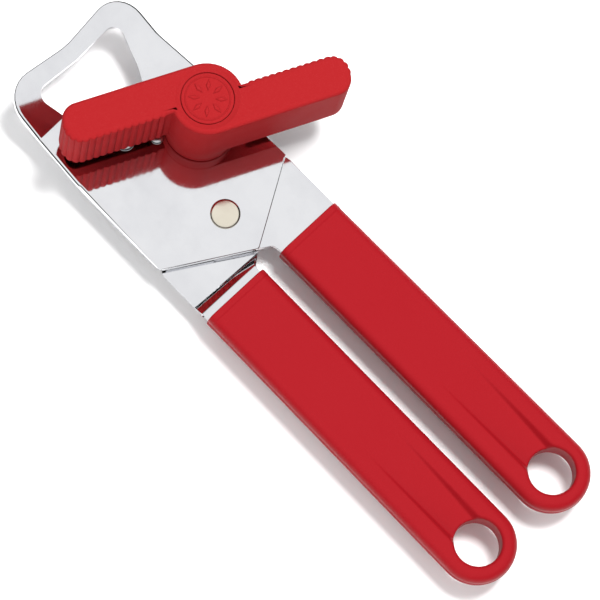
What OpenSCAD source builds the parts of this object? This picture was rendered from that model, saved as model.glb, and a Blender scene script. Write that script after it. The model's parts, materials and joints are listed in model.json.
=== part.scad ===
// Hand-held can opener with two levers, a butterfly turning key and a cap-lifter loop.
// The design is drawn from the pivot rivet: u runs from the head to the handles, v to the
// front lever's side, z up from the back of the handles. place() then moves the whole to the
// front handle's hanging hole, with +X towards the head.

/* [Plates] */
// Thickness of each steel sheet
sheet = 1.5; // [1.2:0.1:1.8]
// Height of the cover plate's underside over the back of the handles
cover_z = 5.25; // [5.25:0.05:5.5]
// Half the width of the head at its rear corners
head_half = 26.5; // [26:0.1:27]
// Distance from the pivot to the point of the head's V-shaped rear end
apex_u = 14.7; // [14.5:0.1:15]
// Angle by which the cap-lifter loop is bent up
loop_bend = 22; // [5:1:25]
// Height of the stiffening lips under the cover plate
lip_drop = 1.4; // [1:0.1:1.45]

/* [Turning key] */
// Half the length of the key over both wings
key_half = 43.6; // [40:0.2:46]
// Radius of the key's hub
hub_r = 11.1; // [11.1:0.1:12]
// Distance from the key's centreline to a wing's smooth side
smooth_n = 10.9; // [10:0.1:10.9]
// Distance from the centreline to a wing's ribbed side, on the other side
rib_n = 1.5; // [1:0.1:2.5]
// Height of the wings
wing_h = 22; // [15:0.5:23]
// Height of the key's top
key_top = 36; // [34:0.5:40]
// Angle of the key from the opener's length, at rest
key_angle = 65.3; // [0:0.1:180]
// Pitch of the grip ribs
rib_pitch = 2.2; // [1.8:0.1:3]

/* [Handles] */
// Thickness of the plastic sleeves
sleeve_t = 9; // [9:0.1:10]
// Distance from the pivot to the mouth of a sleeve
mouth_u = 20.1; // [20.1:0.1:21]
// Distance from the pivot to the hanging holes
hang_u = 123.7; // [115:0.1:130]
// Distance from the middle of the opener to each hanging hole
hang_v = 15.8; // [15.6:0.1:16.2]
// Radius of the hanging holes
hang_r = 7.2; // [6:0.1:8]
// Radius of the rounded handle ends
end_r = 12.1; // [11.8:0.1:12.5]
// Depth of the thumb groove where it meets the hole
groove_depth = 2.6; // [1:0.1:3]

/* [Drive] */
// Radius of the feed wheel over its teeth
feed_r = 7.9; // [7.6:0.1:8]
// Number of teeth on the feed wheel
feed_teeth = 24; // [18:1:28]
// Radius of the cutting wheel
cutter_r = 7.2; // [7:0.1:7.4]
// Radius of the drive shaft's journal
shaft_r = 3.5; // [3.5:0.1:3.6]
// Clearance of a turning fit, on the radius
run_gap = 0.05; // [0.02:0.01:0.09]

/* [Hidden] */
$fn = 64;
corner_steps = 8;
seat_gap = 0.02;    // between pieces that are fixed to each other
slide_gap = 0.1;    // between the sheets that slide on each other

steel = "gainsboro";
red = "crimson";

// Places of the axes, from the pivot
key_at = [-24.8, 13.4];
cutter_at = [-31.4, 1.7];
guide_at = [-37, -6.3];
open_angle = 12;

// Levels of the sheets
cover_top = cover_z + sheet;
front_z = cover_z - sheet;
rear_z = front_z - slide_gap - sheet;
rear_top = rear_z + sheet;

// Levels of the key
key_base = cover_top + 0.3;
wing_z = key_top - wing_h;
hub_boss_r = 5.6;
key_wall = 1.9;
key_roof = 2.6;

// Levels of the drive under the plates
feed_top = rear_z - 0.5;
feed_z = feed_top - 3.5;
cutter_top = feed_z - 0.37;
cutter_z = cutter_top - 2.5;

// Shank radii of the rivets and studs
pivot_r = 3;
stud_r = 2.5;
shank_r = 1.8;
shaft_side = 4.9;
bush_r = 4.6;

crease_u = -54.2;
bend_r = 3;
tang_end = 112;
ramp_start = 14.9;
ramp_end = 17.7;

function unit(a) = a / norm(a);

// One rounded corner q = [x, y, radius] between its neighbours p and s
function corner(p, q, s) =
  let (o = [q.x, q.y], a = unit([p.x, p.y] - o), b = unit([s.x, s.y] - o))
  let (half = acos(max(-1, min(1, a * b))) / 2)
  q.z == 0 || half > 89.9 ? [o] :
  let (c = o + unit(a + b) * q.z / sin(half), ta = o + a * q.z / tan(half) - c)
  let (tb = o + b * q.z / tan(half) - c, a0 = atan2(ta.y, ta.x))
  let (sweep = (atan2(tb.y, tb.x) - a0 + 540) % 360 - 180)
  [for (i = [0 : corner_steps])
    c + q.z * [cos(a0 + sweep * i / corner_steps), sin(a0 + sweep * i / corner_steps)]];

// Outline through a list of [x, y, radius] corners
function rounded(list) =
  let (n = len(list))
  [for (i = [0 : n - 1]) each corner(list[(i + n - 1) % n], list[i], list[(i + 1) % n])];

// A half outline, closed with its own mirror image across the middle line
function both_sides(half) =
  concat(half, [for (i = [len(half) - 1 : -1 : 0]) if (abs(half[i].y) > 0.01)
    [half[i].x, -half[i].y, half[i].z]]);

// From the pivot's frame to the hanging hole's frame
module place() {
  translate([hang_u, hang_v, 0]) rotate([0, 0, 180]) children();
}

// ---- the head ----

head_outline = [[-71.2, 0, 26], [-74.3, 25, 9.3], [crease_u, 25.3, 30], [-37, 26.55, 40],
  [-0.75, head_half, 2.2], [apex_u, 0, 1.2]];
loop_hole = [[-65.5, 0, 26], [-66.6, 17.6, 3.4], [-52.5, 13.6, 12], [-43, 8.6, 6.5]];

// The same corners once the loop is bent up, seen from above
function folded(list) =
  [for (q = list) [crease_u + (q.x - crease_u) * (q.x < crease_u ? cos(loop_bend) : 1), q.y, q.z]];

// The plate seen from the side: flat, then round the bend, then straight up the loop
function bend_point(r, a) = [crease_u - r * sin(a), cover_top + bend_r - r * cos(a)];
function bend_side(r) = concat([[20, cover_top + bend_r - r]],
  [for (i = [0 : 6]) bend_point(r, loop_bend * i / 6)],
  [bend_point(r, loop_bend) + 30 * [-cos(loop_bend), sin(loop_bend)]]);

module bent_sheet() {
  top = bend_side(bend_r);
  under = bend_side(bend_r + sheet);
  rotate([90, 0, 0]) translate([0, 0, -40]) linear_extrude(80)
    polygon(concat(top, [for (i = [len(under) - 1 : -1 : 0]) under[i]]));
}

// Arc slot that lets the bush swing with the rear lever
module bush_slot(r) {
  translate([0, 0, cover_z - 1]) linear_extrude(sheet + 2) {
    for (i = [0 : open_angle / 4])
      rotate(-4 * i) translate(key_at) circle(r);
    difference() {
      intersection() {
        circle(norm(key_at) + r);
        polygon([[0, 0], 2 * key_at, 2 * norm(key_at) * unit(
          [key_at.x * cos(open_angle) + key_at.y * sin(open_angle),
          key_at.y * cos(open_angle) - key_at.x * sin(open_angle)])]);
      }
      circle(norm(key_at) - r);
    }
  }
}

module stud_hole(at, r) {
  translate([at.x, at.y, rear_z - 1]) cylinder(h = 3 * sheet + 3, r = r);
}

// Point on the rear side of the V-shaped end, at a height v and a distance in from the edge
v_way = unit([apex_u + 0.75, head_half]);
function v_edge(v, inset) =
  [apex_u, 0] + v / v_way.y * v_way + inset * [-v_way.y, v_way.x];

module cover_plate() {
  color(steel) place() difference() {
    union() {
      intersection() {
        bent_sheet();
        linear_extrude(40) difference() {
          polygon(rounded(both_sides(folded(head_outline))));
          polygon(rounded(both_sides(folded(loop_hole))));
        }
      }
      // stiffening lips along both sides
      for (side = [-1, 1])
        translate([-36, side * (head_half - sheet / 2 - 0.2) - sheet / 2, cover_z - lip_drop])
          cube([32, sheet, lip_drop + 0.1]);
      // and one along the V-shaped end, over the rear lever
      translate([0, 0, cover_z - lip_drop]) linear_extrude(lip_drop + 0.1)
        polygon([v_edge(-11.7, 0.25), v_edge(-24.6, 0.25), v_edge(-24.6, 1.75),
          v_edge(-11.7, 1.75)]);
    }
    stud_hole([0, 0], pivot_r + seat_gap);
    stud_hole(cutter_at, shank_r + seat_gap);
    stud_hole(guide_at, shank_r + seat_gap);
    bush_slot(bush_r + 0.4);
  }
}

// ---- the levers ----

front_outline = [[tang_end, 8.4, 4], [tang_end, 23.1, 4], [mouth_u, 22.9, 0],
  [mouth_u - 0.05, 26.8, 0], [-1.4, 26.8, 3.2], [-3.5, 19, 4], [-8, 9, 5], [-31, 5.6, 5],
  [-41.6, -0.5, 4], [-41.6, -11.2, 4], [-13, -11.2, 6], [7.6, -11.2, 1.5], [16.8, 4.2, 2.2],
  [mouth_u - 0.05, 4.6, 0], [mouth_u, 7.9, 0]];
rear_low_outline = [[ramp_start, -0.34, 0], [9, 9.7, 1], [-4, 9, 2], [-6, -9, 3],
  [-1.2, -26.3, 3.2], [ramp_start, -26.3, 0]];
rear_high_outline = [[tang_end, -8.4, 4], [tang_end, -23.1, 4], [mouth_u, -22.9, 0],
  [mouth_u - 0.05, -26.5, 0], [ramp_end, -26.4, 0], [ramp_end, -4.1, 0],
  [mouth_u - 0.05, -4.5, 0], [mouth_u, -7.9, 0]];

module front_lever_plate() {
  color(steel) place() difference() {
    translate([0, 0, front_z]) linear_extrude(sheet) polygon(rounded(front_outline));
    stud_hole([0, 0], pivot_r + seat_gap);
    stud_hole(cutter_at, shank_r + seat_gap);
    stud_hole(guide_at, shank_r + seat_gap);
  }
}

module rear_lever_plate() {
  color(steel) place() difference() {
    union() {
      translate([0, 0, rear_z]) linear_extrude(sheet) {
        polygon(rounded(rear_low_outline));
        hull() {
          circle(12);
          translate(key_at) circle(8);
        }
      }
      // the sheet steps up to the level of the handles
      rotate([90, 0, 0]) intersection() {
        translate([0, 0, 0.34]) linear_extrude(26) polygon([[ramp_start, rear_z],
          [ramp_end, front_z], [ramp_end, front_z + sheet], [ramp_start, rear_top]]);
        rotate([-90, 0, 0]) linear_extrude(20) polygon([[ramp_start, -0.34], [ramp_end, -4.1],
          [ramp_end, -26.4], [ramp_start, -26.3]]);
      }
      translate([0, 0, front_z]) linear_extrude(sheet) polygon(rounded(rear_high_outline));
    }
    stud_hole([0, 0], pivot_r + run_gap);
    stud_hole(key_at, bush_r + seat_gap);
  }
}

// ---- the plastic sleeves ----

module sleeve_outline() {
  polygon([[mouth_u, 3.5], [mouth_u, 27], [hang_u, hang_v + end_r], [hang_u, hang_v - end_r]]);
  translate([hang_u, hang_v]) circle(end_r, $fn = 48);
}

// Sloped thumb groove, seen from the side and drawn across the sleeve
module thumb_groove() {
  translate([0, hang_v + 6, 0]) rotate([90, 0, 0]) linear_extrude(12)
    polygon([[81, sleeve_t + 0.05], [hang_u + 3, sleeve_t - groove_depth],
      [hang_u + 3, sleeve_t + 1], [81, sleeve_t + 1]]);
}

module sleeve() {
  difference() {
    union() {
      hull() {
        linear_extrude(sleeve_t) offset(-1.5) sleeve_outline();
        translate([0, 0, 1.5]) linear_extrude(sleeve_t - 3) sleeve_outline();
      }
      // raised lip round the mouth
      hull() {
        translate([mouth_u, 4.1, -0.3]) cube([2.2, 22.3, sleeve_t + 0.6]);
        translate([mouth_u, 3.2, 1]) cube([2.2, 24.1, sleeve_t - 2]);
      }
    }
    // pocket for the lever's tang
    translate([0, 0, front_z - seat_gap]) linear_extrude(sheet + 2 * seat_gap)
      polygon(rounded([[tang_end + 0.1, 8.3, 4], [tang_end + 0.1, 23.2, 4], [mouth_u - 1, 23, 0],
        [mouth_u - 1, 7.8, 0]]));
    translate([hang_u, hang_v, -1]) cylinder(h = sleeve_t + 2, r = hang_r);
    thumb_groove();
  }
}

module front_handle() {
  color(red) place() sleeve();
}

module rear_handle() {
  color(red) place() mirror([0, 1, 0]) sleeve();
}

// ---- rivets, studs and washers ----

// Low domed head, standing on z = 0
module dome(r, h) {
  ball = (r * r + h * h) / (2 * h);
  rotate_extrude() intersection() {
    translate([0, h - ball]) circle(ball);
    square([r, h]);
  }
}

module ring(at, z0, z1, outer, inner) {
  translate([at.x, at.y, z0]) difference() {
    cylinder(h = z1 - z0, r = outer);
    translate([0, 0, -1]) cylinder(h = z1 - z0 + 2, r = inner);
  }
}

module pivot_rivet() {
  washer_z = rear_z - 0.8;
  color("wheat") place() {
    translate([0, 0, cover_top]) cylinder(h = 0.55, r = 4.6);
    translate([0, 0, cover_top + 0.55]) cylinder(h = 0.45, r1 = 4.6, r2 = 3.85);
    translate([0, 0, washer_z - 0.6]) cylinder(h = cover_top - washer_z + 0.7, r = pivot_r);
    translate([0, 0, washer_z - 1]) cylinder(h = 1 - seat_gap, r = 5);
  }
}

module pivot_washer() {
  color(steel) place() ring([0, 0], rear_z - 0.8, rear_z - seat_gap, 7, pivot_r + seat_gap);
}

module cutter_stud() {
  color("silver") place() translate([cutter_at.x, cutter_at.y, 0]) {
    translate([0, 0, cover_top]) dome(2.3, 0.9);
    translate([0, 0, front_z - 0.1]) cylinder(h = cover_top - front_z + 0.2, r = shank_r);
    translate([0, 0, cutter_z - 0.1]) cylinder(h = front_z - cutter_z + 0.1, r = stud_r);
    translate([0, 0, cutter_z - 1]) cylinder(h = 1 - seat_gap, r = 4.4);
  }
}

module cutter_spacer() {
  color(steel) place()
    ring(cutter_at, cutter_top + 0.3, front_z - seat_gap, 4, stud_r + seat_gap);
}

module cutter_washer() {
  color(steel) place()
    ring(cutter_at, cutter_top + seat_gap, cutter_top + 0.28, 4.5, stud_r + seat_gap);
}

module cutter_wheel() {
  color(steel) place() translate([cutter_at.x, cutter_at.y, cutter_z]) rotate_extrude()
    polygon([[stud_r + run_gap, 0], [4.4, 0], [cutter_r, 1.8], [cutter_r, 1.95], [6.1, 2.5],
      [stud_r + run_gap, 2.5]]);
}

module guide_stud() {
  color("silver") place() translate([guide_at.x, guide_at.y, 0]) {
    translate([0, 0, cover_top]) dome(3.1, 1.2);
    translate([0, 0, feed_z + 0.3]) cylinder(h = cover_top - feed_z - 0.2, r = shank_r);
    translate([0, 0, feed_z]) cylinder(h = 0.9, r = 3.4);
  }
}

module rim_guide() {
  color(steel) place()
    ring(guide_at, feed_z + 0.9 + seat_gap, front_z - seat_gap, 3.8, shank_r + seat_gap);
}

// ---- the turning key ----

rib_r = 1.3;
rib_depth = 0.5;
tip_r = 5.6;

// One wing from above: smooth side below the centreline, ribbed side above it.
// It starts inside the hub, and is drawn smaller for the core.
module wing_outline(inset = 0) {
  tip = key_half - rib_depth - inset;
  polygon(rounded([[2, rib_n - rib_depth - inset, 0],
    [tip, rib_n - rib_depth - inset, tip_r - rib_depth - inset],
    [tip, inset - smooth_n, 5.3 - inset], [2, inset - smooth_n, 0]]));
}

// Convex ribs along the ribbed side and round the tip
module ribs() {
  bend_x = key_half - tip_r;
  bend_step = rib_pitch / tip_r * 180 / PI;
  for (i = [0 : floor((bend_x - 14) / rib_pitch)])
    translate([bend_x - i * rib_pitch, rib_n - rib_r]) circle(rib_r, $fn = 24);
  for (i = [1 : 5])
    translate([bend_x, rib_n - tip_r]) rotate(90 - i * bend_step) translate([tip_r - rib_r, 0])
      circle(rib_r, $fn = 24);
}

module key_wing() {
  difference() {
    translate([0, 0, wing_z]) linear_extrude(wing_h) {
      wing_outline();
      ribs();
    }
    // cored from below
    translate([0, 0, wing_z - 1]) linear_extrude(wing_h + 1 - key_roof) wing_outline(key_wall);
  }
}

module crank_key() {
  color(red) place() translate([key_at.x, key_at.y, 0]) rotate(key_angle) difference() {
    union() {
      difference() {
        union() {
          for (turn = [0, 180]) rotate(turn) key_wing();
          translate([0, 0, key_base]) cylinder(h = key_top - key_base, r = hub_r);
        }
        translate([0, 0, key_base - 1]) cylinder(h = key_top - key_base - 3, r = hub_r - 1.9);
      }
      translate([0, 0, key_base]) cylinder(h = key_top - key_base - 1.5, r = hub_boss_r);
    }
    // square socket for the shaft, and the seat of the cap
    translate([-shaft_side / 2 - seat_gap, -shaft_side / 2 - seat_gap, key_base - 1])
      cube([shaft_side + 2 * seat_gap, shaft_side + 2 * seat_gap, 24.02]);
    translate([0, 0, key_top - 3]) cylinder(h = 4, r = 7.9);
    translate([0, 0, key_top - 0.5]) cylinder(h = 0.6, r1 = 7.9, r2 = 9.9);
  }
}

module key_cap() {
  color(red) place() translate([key_at.x, key_at.y, 0]) {
    translate([0, 0, key_top - 3 + seat_gap]) cylinder(h = 2.45, r = 7.9 - seat_gap);
    ring([0, 0], key_top - 0.6, key_top - 0.3, 6.9, 6.3);
    for (i = [0 : 7])
      rotate(i * 45) translate([2.2, -0.3, key_top - 0.6]) cube([3.2, 0.6, 0.3]);
  }
}

module key_washer() {
  color(steel) place() ring(key_at, cover_top + 0.05, key_base - seat_gap, 9.4, shaft_r + 0.03);
}

// ---- the drive ----

module drive_shaft() {
  color("silver") place() translate([key_at.x, key_at.y, 0]) {
    translate([0, 0, feed_z - 3]) cylinder(h = 4, r = 2.4);
    rotate(key_angle) translate([-shaft_side / 2, -shaft_side / 2, feed_z])
      cube([shaft_side, shaft_side, key_base + 23 - feed_z]);
    translate([0, 0, feed_top]) cylinder(h = key_base - feed_top - seat_gap, r = shaft_r);
  }
}

module drive_bush() {
  color("silver") place() {
    ring(key_at, rear_z, cover_top, bush_r, shaft_r + run_gap);
    ring(key_at, rear_top + seat_gap, rear_top + 1, 6, bush_r - 0.5);
  }
}

module feed_washer() {
  color(steel) place() ring(key_at, feed_top + seat_gap, rear_z - 0.05, 6, shaft_r + seat_gap);
}

// Toothed rim as one outline, with a flat tip and a flat root to each tooth
module tooth_outline() {
  pitch = 360 / feed_teeth;
  root = feed_r - 0.85;
  polygon([for (i = [0 : feed_teeth - 1]) each [
    root * [cos(i * pitch), sin(i * pitch)],
    feed_r * [cos((i + 0.35) * pitch), sin((i + 0.35) * pitch)],
    feed_r * [cos((i + 0.6) * pitch), sin((i + 0.6) * pitch)],
    root * [cos((i + 0.9) * pitch), sin((i + 0.9) * pitch)]]]);
}

module feed_wheel() {
  side = shaft_side + 2 * seat_gap;
  color(steel) place() translate([key_at.x, key_at.y, 0]) rotate(key_angle) difference() {
    union() {
      translate([0, 0, feed_z]) linear_extrude(2) tooth_outline();
      translate([0, 0, feed_z + 2]) cylinder(h = feed_top - feed_z - 2, r = 6.4);
    }
    translate([-side / 2, -side / 2, feed_z - 1]) cube([side, side, 6]);
  }
}

module lock_washer() {
  color(steel) place() ring(key_at, feed_z - 0.6, feed_z - seat_gap, 4.3, 2.4 + seat_gap);
}

module shaft_nut() {
  color(steel) place() translate([key_at.x, key_at.y, feed_z - 2.7]) difference() {
    cylinder(h = 2.08, r = 4.04, $fn = 6);
    translate([0, 0, -1]) cylinder(h = 5, r = 2.4 + seat_gap);
  }
}

cover_plate();
front_lever_plate();
rear_lever_plate();
front_handle();
rear_handle();
pivot_rivet();
pivot_washer();
crank_key();
key_cap();
key_washer();
drive_shaft();
drive_bush();
feed_washer();
feed_wheel();
lock_washer();
shaft_nut();
cutter_wheel();
cutter_stud();
cutter_spacer();
cutter_washer();
guide_stud();
rim_guide();
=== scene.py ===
"""Looks of a hand-held can opener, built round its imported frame.

Sizes are in millimetres from the pivot rivet: u runs from the head to the handles, v to the
front lever's side and z up from the back of the handles. Drafting.at() turns them into the
frame's metres.
"""
import json
import logging
import math
from collections.abc import Callable
from dataclasses import dataclass, field
from enum import Enum

import bmesh
import bpy
from mathutils import Matrix, Vector


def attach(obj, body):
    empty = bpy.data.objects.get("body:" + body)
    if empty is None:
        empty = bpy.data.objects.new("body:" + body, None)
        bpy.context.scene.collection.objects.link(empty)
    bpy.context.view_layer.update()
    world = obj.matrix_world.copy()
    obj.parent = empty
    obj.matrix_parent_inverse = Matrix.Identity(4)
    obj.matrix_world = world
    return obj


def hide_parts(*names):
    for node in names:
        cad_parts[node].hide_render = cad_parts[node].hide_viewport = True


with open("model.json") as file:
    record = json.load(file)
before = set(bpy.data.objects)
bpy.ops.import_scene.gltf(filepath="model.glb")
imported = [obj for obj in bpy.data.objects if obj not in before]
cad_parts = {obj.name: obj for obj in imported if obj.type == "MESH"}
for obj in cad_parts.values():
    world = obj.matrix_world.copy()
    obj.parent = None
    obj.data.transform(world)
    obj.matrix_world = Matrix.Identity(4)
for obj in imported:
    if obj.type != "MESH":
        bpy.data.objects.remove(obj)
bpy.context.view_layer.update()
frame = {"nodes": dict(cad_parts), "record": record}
log = logging.getLogger("can_opener")
logging.basicConfig(level=logging.INFO, format="%(message)s")

Ring = list[Vector]
Tree = bpy.types.NodeTree
Node = bpy.types.Node
Socket = bpy.types.NodeSocket
Colour = tuple[float, float, float]


class Lever(Enum):
    """The two levers, by the side of the middle line that each one lies on."""

    FRONT = 1
    REAR = -1


class Sheen(Enum):
    """How a moulded plastic shines: lowest and highest roughness, and specular level."""

    SATIN = (0.36, 0.44, 0.12)
    MATT = (0.48, 0.58, 0.015)


@dataclass(frozen=True)
class PlasticFinish:
    """Moulded plastic: its colour, the lighter flecks in its grain, and the grain's size."""

    name: str
    body: Colour
    fleck: Colour
    sheen: Sheen
    grain_per_m: float
    grain_height: float
    fleck_share: float


@dataclass(frozen=True)
class MetalFinish:
    """Bare or plated metal: bright and dull colour, roughness range and brushing."""

    name: str
    bright: Colour
    dull: Colour
    rough_low: float
    rough_high: float
    brush_along: tuple[float, float, float]
    brush_height: float


HANDLE_RED = PlasticFinish("handle_red", (0.255, 0.006, 0.01), (0.33, 0.02, 0.028), Sheen.SATIN,
                           3800.0, 0.000012, 0.25)
KEY_RED = PlasticFinish("key_red", (0.28, 0.012, 0.014), (0.42, 0.055, 0.055), Sheen.MATT,
                        4200.0, 0.00002, 0.35)
SHEET_STEEL = MetalFinish("sheet_steel", (0.84, 0.845, 0.86), (0.78, 0.785, 0.805), 0.03, 0.1,
                          (2600.0, 160.0, 2600.0), 0.0000008)
SMALL_STEEL = MetalFinish("washer_steel", (0.66, 0.66, 0.67), (0.50, 0.50, 0.51), 0.22, 0.38,
                          (500.0, 500.0, 120.0), 0.000003)
TURNED_STEEL = MetalFinish("turned_steel", (0.70, 0.70, 0.70), (0.52, 0.52, 0.53), 0.15, 0.3,
                           (300.0, 300.0, 2500.0), 0.000004)
WHEEL_STEEL = MetalFinish("wheel_steel", (0.60, 0.60, 0.61), (0.42, 0.42, 0.44), 0.2, 0.4,
                          (1400.0, 1400.0, 300.0), 0.000004)
WARM_NICKEL = MetalFinish("warm_nickel", (0.86, 0.80, 0.67), (0.80, 0.74, 0.61), 0.16, 0.3,
                          (700.0, 500.0, 700.0), 0.000002)


class Drafting:
    """Turns the maker's measures into the frame's metres."""

    hang_u: float = 123.7
    hang_v: float = 15.8
    mm: float = 0.001

    @classmethod
    def at(cls, u: float, v: float, z: float) -> Vector:
        """Gives a point of the frame.

        Args:
            u: Millimetres from the pivot towards the handles.
            v: Millimetres from the middle line towards the front lever.
            z: Millimetres over the back of the handles.

        Returns:
            The same point in metres in the frame.
        """
        return Vector(((cls.hang_u - u) * cls.mm, (cls.hang_v - v) * cls.mm, z * cls.mm))

    @classmethod
    def back(cls, point: Vector) -> tuple[float, float, float]:
        """Gives u, v and z in millimetres of a point of the frame.

        Args:
            point: A point in metres in the frame.

        Returns:
            Its u, v and z.
        """
        return (cls.hang_u - point.x / cls.mm, cls.hang_v - point.y / cls.mm, point.z / cls.mm)

    @staticmethod
    def rounded(corners: list[tuple[float, float, float]], step: float) -> list[Vector]:
        """Rounds the corners of a closed outline and spaces its points evenly.

        Args:
            corners: x, y and radius of each corner, in order.
            step: Longest distance between two points of the result.

        Returns:
            The points of the outline.
        """
        path: list[Vector] = []
        count = len(corners)
        for i, (x, y, r) in enumerate(corners):
            o = Vector((x, y))
            a = (Vector(corners[i - 1][:2]) - o).normalized()
            b = (Vector(corners[(i + 1) % count][:2]) - o).normalized()
            half = math.acos(max(-1.0, min(1.0, a.dot(b)))) / 2
            if r == 0 or half > math.radians(89.9):
                path.append(o)
                continue
            c = o + (a + b).normalized() * r / math.sin(half)
            start = o + a * r / math.tan(half) - c
            end = o + b * r / math.tan(half) - c
            a0 = math.atan2(start.y, start.x)
            sweep = (math.atan2(end.y, end.x) - a0 + 3 * math.pi) % (2 * math.pi) - math.pi
            turns = max(2, int(abs(sweep) * r / step) + 1)
            for k in range(turns + 1):
                t = a0 + sweep * k / turns
                path.append(c + r * Vector((math.cos(t), math.sin(t))))
        points: list[Vector] = []
        for i, p in enumerate(path):
            q = path[(i + 1) % len(path)]
            parts = max(1, math.ceil((q - p).length / step - 1e-6))
            if (q - p).length < 1e-6:
                continue
            points += [p.lerp(q, k / parts) for k in range(parts)]
        return points


class Bench:
    """The few steps that every piece is made with."""

    @staticmethod
    def clear() -> None:
        """Leaves edit mode and deselects everything."""
        if bpy.context.object and bpy.context.object.mode != "OBJECT":
            bpy.ops.object.mode_set(mode="OBJECT")
        bpy.ops.object.select_all(action="DESELECT")

    @classmethod
    def pick(cls, *pieces: bpy.types.Object) -> None:
        """Selects these pieces alone, the first one active.

        Args:
            pieces: The pieces to select.
        """
        cls.clear()
        for piece in pieces:
            piece.select_set(True)
        bpy.context.view_layer.objects.active = pieces[0]

    @classmethod
    def stack(cls, name: str, rings: list[Ring], fill: tuple[bool, bool] = (True, True)
              ) -> bpy.types.Object:
        """Extrudes a closed loop through a list of rings.

        Args:
            name: Name of the new piece.
            rings: Rings of equal length, each a list of points in metres.
            fill: Whether the first and the last ring are closed with a face.

        Returns:
            The new piece.
        """
        cls.clear()
        bpy.ops.mesh.primitive_circle_add(vertices=len(rings[0]), radius=0.01,
                                          fill_type="NOTHING", location=(0, 0, 0))
        piece = bpy.context.object
        piece.name = piece.data.name = name
        bpy.ops.object.mode_set(mode="EDIT")
        bpy.ops.mesh.select_all(action="SELECT")
        mesh = bmesh.from_edit_mesh(piece.data)
        place = {}
        for i, vert in enumerate(mesh.verts):
            vert.co = rings[0][i]
            place[vert.index] = i
        for ring in rings[1:]:
            bmesh.update_edit_mesh(piece.data)
            bpy.ops.mesh.extrude_region_move()
            mesh = bmesh.from_edit_mesh(piece.data)
            mesh.verts.index_update()
            fresh = {}
            for vert in mesh.verts:
                if not vert.select:
                    continue
                for edge in vert.link_edges:
                    old = edge.other_vert(vert)
                    if old.index in place and not old.select:
                        fresh[vert.index] = place[old.index]
                        vert.co = ring[place[old.index]]
            place = fresh
        count = len(rings[0])
        for first, wanted in ((0, fill[0]), ((len(rings) - 1) * count, fill[1])):
            if wanted:
                bpy.ops.mesh.select_all(action="DESELECT")
                mesh = bmesh.from_edit_mesh(piece.data)
                mesh.verts.ensure_lookup_table()
                for i in range(first, first + count):
                    mesh.verts[i].select = True
                mesh.select_flush(True)
                bpy.ops.mesh.edge_face_add()
        bpy.ops.mesh.select_all(action="SELECT")
        bpy.ops.mesh.normals_make_consistent(inside=False)
        bpy.ops.object.mode_set(mode="OBJECT")
        return piece

    @classmethod
    def lathe(cls, name: str, centre: tuple[float, float], profile: list[tuple[float, float]],
              turns: int) -> bpy.types.Object:
        """Turns a profile about an upright axis and closes its two ends.

        Args:
            name: Name of the new piece.
            centre: u and v of the axis.
            profile: Radius and height of each ring.
            turns: Number of points round the axis.

        Returns:
            The new piece.
        """
        rings = [[Drafting.at(centre[0] + r * math.cos(2 * math.pi * k / turns),
                              centre[1] + r * math.sin(2 * math.pi * k / turns), z)
                  for k in range(turns)] for r, z in profile]
        return cls.stack(name, rings)

    @classmethod
    def join(cls, *pieces: bpy.types.Object) -> bpy.types.Object:
        """Joins pieces into the first one.

        Args:
            pieces: The pieces to join.

        Returns:
            The first piece, now holding all.
        """
        cls.pick(*pieces)
        bpy.ops.object.join()
        return bpy.context.object

    @classmethod
    def carve(cls, piece: bpy.types.Object, cutter: bpy.types.Object) -> None:
        """Cuts one closed piece out of another and removes the cutter.

        Args:
            piece: The piece that is cut.
            cutter: The closed shape that is taken away.
        """
        cls.pick(piece)
        bpy.ops.object.modifier_add(type="BOOLEAN")
        step = piece.modifiers[-1]
        step.operation, step.solver, step.object = "DIFFERENCE", "EXACT", cutter
        bpy.ops.object.modifier_apply(modifier=step.name)
        bpy.data.objects.remove(cutter)

    @classmethod
    def soften(cls, piece: bpy.types.Object, width_mm: float, angle: float = 35.0,
               segments: int = 3) -> None:
        """Bevels every edge that is sharper than an angle.

        Args:
            piece: The piece to bevel.
            width_mm: Width of the bevel.
            angle: Smallest edge angle in degrees that is bevelled.
            segments: Number of strips in each bevel.
        """
        cls.pick(piece)
        bpy.ops.object.modifier_add(type="BEVEL")
        step = piece.modifiers[-1]
        step.limit_method, step.angle_limit = "ANGLE", math.radians(angle)
        step.width, step.segments = width_mm * Drafting.mm, segments
        step.use_clamp_overlap = True
        bpy.ops.object.modifier_apply(modifier=step.name)

    @classmethod
    def smooth(cls, piece: bpy.types.Object, angle: float = 32.0) -> None:
        """Shades a piece smooth but for its sharp edges.

        Args:
            piece: The piece to shade.
            angle: Smallest edge angle in degrees that stays sharp.
        """
        cls.pick(piece)
        bpy.ops.object.shade_smooth_by_angle(angle=math.radians(angle))

    @classmethod
    def even(cls, piece: bpy.types.Object) -> None:
        """Makes the large faces of a piece shade flat, with the turn in its small ones.

        Args:
            piece: The piece to shade.
        """
        cls.pick(piece)
        bpy.ops.object.modifier_add(type="WEIGHTED_NORMAL")
        step = piece.modifiers[-1]
        step.weight, step.keep_sharp = 100, True
        bpy.ops.object.modifier_apply(modifier=step.name)

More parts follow.
